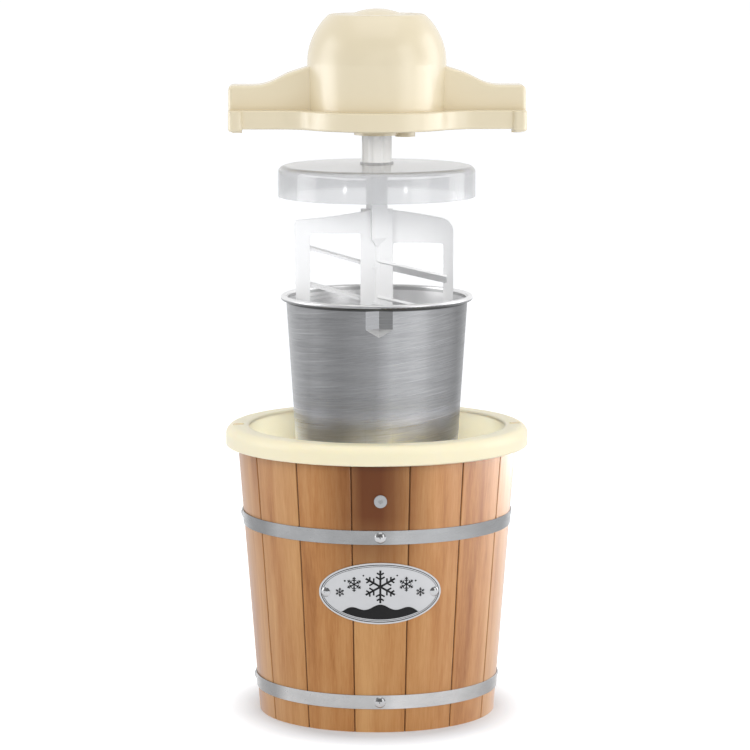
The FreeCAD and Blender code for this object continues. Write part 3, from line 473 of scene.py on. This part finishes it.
def scratched(look, fine):
    """Tone of all layers of scratches together."""
    coarse = look.noise(look.stretched(**CAN_COARSE), detail=4.0, roughness=0.6)
    scuffs = look.noise(look.stretched(**CAN_SCUFFS), detail=6.0, roughness=0.75, distortion=0.8)
    scratch = look.noise(look.stretched(**CAN_SCRATCHES), detail=2.0, roughness=0.5)
    scratch = look.span(scratch, SCRATCH_START, SCRATCH_END, 0.0, 1.0)
    tone = look.math("MULTIPLY_ADD", coarse, COARSE_WEIGHT, fine)
    tone = look.math("MULTIPLY_ADD", scuffs, SCUFF_WEIGHT, tone)
    tone = look.math("MULTIPLY_ADD", scratch, SCRATCH_WEIGHT, tone)
    share = look.span(tone, SCRATCHED_LOW, SCRATCHED_HIGH, 0.0, 1.0)
    return look.ramp(share, [(0.0, grey(SCRATCHED_DARK)), (1.0, grey(SCRATCHED_LIGHT))])


def can_wall(look, place, fine):
    """Outside of the can: a painted reflection tone across it, scratches, and a foot brightened with painted
    light.
    """
    # Painted reflection: light and dark bands across the can, set by place
    reflection_sweep = look.ramp(
        look.span(place["X"], -CAN_HALF_WIDTH, CAN_HALF_WIDTH, 0.0, 1.0),
        [(share, (level, level, level * CAN_COOL)) for share, level in CAN_REFLECTION_TONES],
    )
    colour = look.blend(1.0, reflection_sweep, scratched(look, fine), "MULTIPLY")
    # Painted light on the foot, brighter lower down
    foot = look.add("ShaderNodeCombineXYZ", {
        axis: look.span(place["Z"], CAN_FOOT_LOW, CAN_FOOT_HIGH, shine, 1.0)
        for axis, shine in enumerate(CAN_FOOT_PAINTED_LIGHT)
    }).outputs[0]
    return look.blend(1.0, look.blend(1.0, colour, foot, "MULTIPLY"), CAN_PALEST, "DARKEN")


def can_dent(look, place, facing, colour):
    """Painted light on the dent: one side lighter, the other side painted shade, and its sloping floor a
    painted glint.
    """
    aside = look.math("ABSOLUTE", place["X"])
    dent = look.span(aside, DENT_HALF_WIDTH, DENT_HALF_WIDTH + DENT_EDGE, 1.0, 0.0)
    to_right = look.span(facing["X"], DENT_SIDE_LOW, DENT_SIDE_HIGH, 0.0, 1.0)
    to_left = look.span(facing["X"], -DENT_SIDE_HIGH, -DENT_SIDE_LOW, 1.0, 0.0)
    upward = look.span(facing["Z"], DENT_FLOOR_LOW, DENT_FLOOR_HIGH, 0.0, 1.0)
    colour = look.blend(look.math("MULTIPLY", dent, to_right), colour, DENT_LEFT_LIGHT)
    colour = look.blend(look.math("MULTIPLY", dent, to_left), colour, DENT_RIGHT_SHADE)
    return look.blend(upward, colour, DENT_FLOOR_GLINT)


def brushed_aluminium():
    """Spun aluminium with a bright inside, and painted light: lit and shaded dent sides, a painted shadow
    under the bead and a bead lighter on top.
    """
    look = Look("can_aluminium")
    fine = look.noise(look.stretched(**CAN_FINE), detail=4.0, roughness=0.7)
    place = look.split(look.coords)
    normal = look.add("ShaderNodeNewGeometry").outputs["Normal"]
    facing = look.split(normal)
    outward = look.dot(normal, look.stretched(FLAT))
    inside = look.span(outward, -CAN_INSIDE_EDGE, 0.0, 1.0, 0.0)
    colour = can_dent(look, place, facing, can_wall(look, place, fine))
    # Painted shadow under the bead
    bead_shadow = look.span(place["Z"], CAN_BEAD_LOW - CAN_BEAD_SHADOW_DEEP, CAN_BEAD_LOW - CAN_BEAD_SHADOW_RISE, 0.0, 1.0)
    colour = look.blend(bead_shadow, colour, CAN_BEAD_SHADOW)
    colour = look.blend(inside, colour, CAN_INSIDE)
    # Painted light on the bead, set by which way it faces
    bead = look.ramp(look.span(facing["Z"], -1.0, 1.0, 0.0, 1.0), CAN_BEAD_PAINTED_LIGHT)
    on_bead = look.span(place["Z"], CAN_BEAD_LOW, CAN_BEAD_LOW + CAN_BEAD_EDGE, 0.0, 1.0)
    return look.finish(
        Base_Color=look.blend(on_bead, colour, bead),
        Metallic=1.0,
        Roughness=look.vary(fine, 0.24, 0.40),
        Normal=look.bump(fine, CAN_BUMP, CAN_DEPTH),
    )


dress(brushed_aluminium(), "can")

# Lid: clear, faintly grey and slightly hazy
LID_HAZE = (60, 60, 60)
LID_CLEAR = (0.80, 0.80, 0.805)
LID_SHADE = (0.77, 0.77, 0.775)


def clear_plastic():
    """Clear plastic whose sheen follows a faint haze."""
    look = Look("lid_plastic")
    haze = look.noise(look.stretched(LID_HAZE), detail=3.0, roughness=0.5)
    return look.finish(
        Base_Color=look.blend(haze, LID_CLEAR, LID_SHADE),
        Roughness=look.vary(haze, 0.10, 0.14),
        Transmission_Weight=0.72,
        IOR=1.46,
    )


dress(clear_plastic(), "lid")

# Badge art: snowflakes, a drift and a double border in black on the oval plate
PLATE_HALF_WIDTH = 0.056
PLATE_HALF_HEIGHT = 0.029
PLATE_CENTRE = 0.1327
PLATE_FACE = 0.00125
ART_PROUD = 0.00012
STAVE_BASE_RADIUS = 0.1112
STAVE_TAPER = 0.078
RING_STEPS = 120
DISC_STEPS = 12
ARM_STEPS = 6
TWIG_STEPS = 2
TWIG_WIDTH = 0.8
# Each twig's root along the arm and its length, as shares of the flake's radius
TWIGS = ((0.45, 0.30), (0.72, 0.24))


def on_plate(across, up):
    """Point on the oval plate's face, a hair proud of it."""
    height = PLATE_CENTRE + up
    reach = STAVE_BASE_RADIUS + STAVE_TAPER * height + PLATE_FACE + ART_PROUD
    return (across, -math.sqrt(reach ** 2 - across ** 2), height)


class Art:
    """Flat ink shapes laid on the plate's face."""

    def __init__(self):
        self.points = []
        self.faces = []

    def strip(self, left, right):
        """Band between two rows of (across, up) points."""
        first = len(self.points)
        for a, b in zip(left, right):
            self.points += [on_plate(*a), on_plate(*b)]
        for k in range(len(left) - 1):
            i = first + 2 * k
            self.faces.append((i, i + 1, i + 3, i + 2))

    def stroke(self, start, end, width, steps):
        """Straight line from one (across, up) point to another."""
        along = Vector(end) - Vector(start)
        side = Vector((-along.y, along.x)).normalized() * (width / 2)
        row = [Vector(start) + along * (k / steps) for k in range(steps + 1)]
        self.strip([tuple(p + side) for p in row], [tuple(p - side) for p in row])

    def ring(self, half_width, half_height, width):
        """Oval line, measured to its outer edge."""
        outer, inner = [], []
        for k in range(RING_STEPS + 1):
            turn = 2 * math.pi * k / RING_STEPS
            x, y = math.cos(turn), math.sin(turn)
            outer.append((half_width * x, half_height * y))
            inner.append(((half_width - width) * x, (half_height - width) * y))
        self.strip(outer, inner)

    def disc(self, across, up, radius):
        """Round dot."""
        top, low = [], []
        for k in range(DISC_STEPS + 1):
            turn = math.pi * k / DISC_STEPS
            x, y = radius * math.cos(turn), radius * math.sin(turn)
            top.append((across + x, up + y))
            low.append((across + x, up - y))
        self.strip(top, low)

    def flake(self, across, up, radius, width):
        """Six-armed snowflake with two pairs of twigs on each arm."""
        for k in range(6):
            turn = math.pi / 6 + k * math.pi / 3
            arm = Vector((math.cos(turn), math.sin(turn)))
            middle = Vector((across, up))
            self.stroke(tuple(middle), tuple(middle + arm * radius), width, ARM_STEPS)
            for share, length in TWIGS:
                root = middle + arm * (radius * share)
                for lean in (-1, 1):
                    branch = turn + lean * math.pi / 3
                    twig = Vector((math.cos(branch), math.sin(branch))) * (radius * length)
                    self.stroke(tuple(root), tuple(root + twig), width * TWIG_WIDTH, TWIG_STEPS)


# Each border's inset and width
BORDERS = ((0.0016, 0.0007), (0.0032, 0.0004))
DRIFT_HALF_WIDTH = 0.040
DRIFT_CREST = -0.0125
DRIFT_SWELL = 0.0022
DRIFT_WAVES = 230.0
DRIFT_FALL = 4.0
DRIFT_STEPS = 60
OVAL_HALF_WIDTH = 0.0525
OVAL_HALF_HEIGHT = 0.0255
OVAL_LIFT = 0.001
# Flakes: across, up, radius and stroke width; dots: across, up and radius
MIDDLE_FLAKE = (0, 0.0065, 0.0155, 0.0019)
SIDE_FLAKES = ((0.024, 0.0085, 0.0070, 0.0011), (0.037, 0.0005, 0.0042, 0.0008))
SIDE_DOTS = ((0.0325, 0.0115, 0.0009), (0.0155, 0.0170, 0.0008))
INK_BLACK = (0.008, 0.008, 0.009)
INK_SHADE = grey(0.014)


def drift(art):
    """Snowdrift that fills the foot of the oval."""
    top, low = [], []
    for k in range(DRIFT_STEPS + 1):
        across = -DRIFT_HALF_WIDTH + 2 * DRIFT_HALF_WIDTH * k / DRIFT_STEPS
        edge = -OVAL_HALF_HEIGHT * math.sqrt(1 - (across / OVAL_HALF_WIDTH) ** 2) + OVAL_LIFT
        crest = DRIFT_CREST + DRIFT_SWELL * math.cos(across * DRIFT_WAVES) - DRIFT_FALL * across ** 2
        top.append((across, max(edge, crest)))
        low.append((across, edge))
    art.strip(top, low)


def badge_design():
    """Mesh of the ink: borders, a large flake, smaller flakes and dots beside it, and the drift."""
    art = Art()
    for inset, width in BORDERS:
        art.ring(PLATE_HALF_WIDTH - inset, PLATE_HALF_HEIGHT - inset, width)
    art.flake(*MIDDLE_FLAKE)
    for side in (-1, 1):
        for across, up, radius, width in SIDE_FLAKES:
            art.flake(side * across, up, radius, width)
        for across, up, radius in SIDE_DOTS:
            art.disc(side * across, up, radius)
    drift(art)
    mesh = bpy.data.meshes.new("badge_art")
    mesh.from_pydata(art.points, [], art.faces)
    mesh.update()
    return mesh


badge_art = bpy.data.objects.new("badge_art", badge_design())
scene.collection.objects.link(badge_art)
badge_art.data.materials.append(plastic("badge_ink", INK_BLACK, INK_SHADE, 0.6, Specular_IOR_Level=0.2))
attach(badge_art, "bucket")

# Floor: white, with the bucket's shadow on it
FLOOR_HALF = 30.0
FLOOR_WHITE = (0.70, 0.72, 0.75)
FLOOR_SHADE = (0.69, 0.71, 0.74)
FLOOR_TONE = (2, 2, 2)
SHADOW_START = 0.13
SHADOW_END = 0.20
SHADOW_SPREAD = (1.3, 1, 1)
SHADOW_GLOW = 0.0
FAR_GLOW = 0.6
MIRRORED_GLOW = 0.6


def floor_white():
    """White floor that keeps the shadow near the bucket, glows further out and glows evenly in gloss."""
    look = Look("floor_white")
    tone = look.noise(look.stretched(FLOOR_TONE), detail=2.0, roughness=0.5)
    paths = look.add("ShaderNodeLightPath").outputs
    reach = look.length(look.stretched(SHADOW_SPREAD))
    glow = look.span(reach, SHADOW_START, SHADOW_END, SHADOW_GLOW, FAR_GLOW)
    seen = look.math("MAXIMUM", paths["Is Camera Ray"], paths["Is Transmission Ray"])
    mirrored = look.math("SUBTRACT", paths["Is Glossy Ray"], paths["Is Transmission Ray"])
    mirrored = look.math("MULTIPLY", mirrored, MIRRORED_GLOW)
    return look.finish(
        Base_Color=look.blend(tone, FLOOR_WHITE, FLOOR_SHADE),
        Roughness=0.9,
        Specular_IOR_Level=0.0,
        Emission_Color=(1.0, 1.0, 1.0),
        Emission_Strength=look.math("MAXIMUM", look.math("MULTIPLY", seen, glow), mirrored),
    )


floor_mesh = bpy.data.meshes.new("floor")
floor_mesh.from_pydata(
    [(x * FLOOR_HALF, y * FLOOR_HALF, 0) for x, y in ((-1, -1), (1, -1), (1, 1), (-1, 1))],
    [], [(0, 1, 2, 3)],
)
floor = bpy.data.objects.new("floor", floor_mesh)
scene.collection.objects.link(floor)
floor.data.materials.append(floor_white())

# Surroundings: bright behind, darker on the camera's side
WORLD_FRONT = 0.24
WORLD_BACK = 0.98
WORLD_TURN = 0.8


def studio_world():
    """World whose brightness rises from front to back."""
    world = bpy.data.worlds.new("studio")
    world.use_nodes = True
    tree = world.node_tree
    tree.nodes.clear()
    direction = tree.nodes.new("ShaderNodeTexCoord")
    split = tree.nodes.new("ShaderNodeSeparateXYZ")
    strength = tree.nodes.new("ShaderNodeMapRange")
    strength.inputs["From Min"].default_value = -WORLD_TURN
    strength.inputs["From Max"].default_value = WORLD_TURN
    strength.inputs["To Min"].default_value = WORLD_FRONT
    strength.inputs["To Max"].default_value = WORLD_BACK
    background = tree.nodes.new("ShaderNodeBackground")
    background.inputs["Color"].default_value = (1, 1, 1, 1)
    world_out = tree.nodes.new("ShaderNodeOutputWorld")
    tree.links.new(direction.outputs["Generated"], split.inputs[0])
    tree.links.new(split.outputs["Y"], strength.inputs["Value"])
    tree.links.new(strength.outputs[0], background.inputs["Strength"])
    tree.links.new(background.outputs[0], world_out.inputs["Surface"])
    return world


scene.world = studio_world()


def soft_box(name, place, target, size, power, only=()):
    """Area lamp aimed at a point, which may light some pieces only."""
    data = bpy.data.lights.new(name, "AREA")
    data.shape = "RECTANGLE"
    data.size, data.size_y = size
    data.energy = power
    lamp = bpy.data.objects.new(name, data)
    scene.collection.objects.link(lamp)
    lamp.visible_camera = False
    lamp.location = place
    lamp.rotation_mode = "QUATERNION"
    lamp.rotation_quaternion = (Vector(target) - Vector(place)).to_track_quat("-Z", "Y")
    if only:
        lit = bpy.data.collections.new(name + "_lit")
        for piece in only:
            lit.objects.link(piece)
        lamp.light_linking.receiver_collection = lit
    return lamp


# Pieces that have lamps of their own
head = [nodes[name] for name in ("motor_cover", "motor_base", "cord_gland")]
below_head = [piece for piece in scene.objects if piece.type == "MESH" and piece not in head]
staves = [nodes["stave_%02d" % (number + 1)] for number in range(STAVES)]
liner = [nodes["ice_liner"], nodes["liner_floor"]]
dasher = [nodes["dasher"]]
lid = [nodes["lid"]]

# Lamps: boxes all round first, in metres and watts
BUCKET_AIM = (0, 0, 0.4)
LINER_AIM = (0, 0, 0.25)
WOOD_AIM = (0, 0, 0.15)
HEAD_AIM = (0, 0, 0.60)
TALL_BOX = (1.1, 1.6)
WIDE_BOX = (3.2, 1.4)
LINER_BOX = (1.0, 1.0)
SPARK = (0.006, 0.004)
SPARK_POWER = 0.003
soft_box("left_box", (-2.0, 0.0, 0.9), BUCKET_AIM, TALL_BOX, 11)
soft_box("right_box", (1.6, -1.35, 0.9), BUCKET_AIM, (0.9, 1.6), 8)
soft_box("far_right_box", (1.95, 0.5, 0.9), BUCKET_AIM, TALL_BOX, 11)
soft_box("top_box", (0, -0.4, 2.4), (0, 0, 0.3), (2.0, 2.0), 12)
# Even light from the front, each box for its own pieces
fill = [
    soft_box("front_box", (0, -3.4, 1.55), (0, 0, 0.25), WIDE_BOX, 60, below_head),
    soft_box("head_box", (0, -3.4, 1.55), (0, 0, 0.5), WIDE_BOX, 36, head),
    soft_box("dasher_box", (0, -3.0, 1.0), (0, 0, 0.45), (2.0, 1.2), 16, dasher),
    soft_box("liner_box", (0, -1.2, 1.6), LINER_AIM, LINER_BOX, 50, liner),
    soft_box("left_liner_box", (-1.2, 0.9, 1.6), LINER_AIM, LINER_BOX, 36, liner),
    soft_box("right_liner_box", (1.2, 0.9, 1.6), LINER_AIM, LINER_BOX, 36, liner),
]
# Gloss along the sides of the wood and the head, and two sparks in the lid
sheen = [
    soft_box("far_wood_sheen", (1.04, 0.60, 0.2), WOOD_AIM, (1.2, 0.38), 18, staves),
    soft_box("right_wood_sheen", (1.13, -0.30, 0.2), WOOD_AIM, (1.4, 0.38), 28, staves),
    soft_box("left_wood_sheen", (-1.18, -0.20, 0.2), WOOD_AIM, (1.2, 0.38), 6, staves),
    soft_box("left_head_sheen", (-1.98, 0.24, 0.34), HEAD_AIM, (2.0, 0.4), 6, head),
    soft_box("right_head_sheen", (1.98, -0.28, 0.34), HEAD_AIM, (1.2, 0.4), 5.5, head),
    soft_box("left_lid_spark", (-0.092, -0.163, 0.492), (-0.030, -0.085, 0.501), SPARK, SPARK_POWER, lid),
    soft_box("right_lid_spark", (0.076, -0.172, 0.492), (0.024, -0.087, 0.501), SPARK, SPARK_POWER, lid),
]
for lamp in fill:
    lamp.visible_glossy = False
for lamp in sheen:
    lamp.visible_diffuse = False
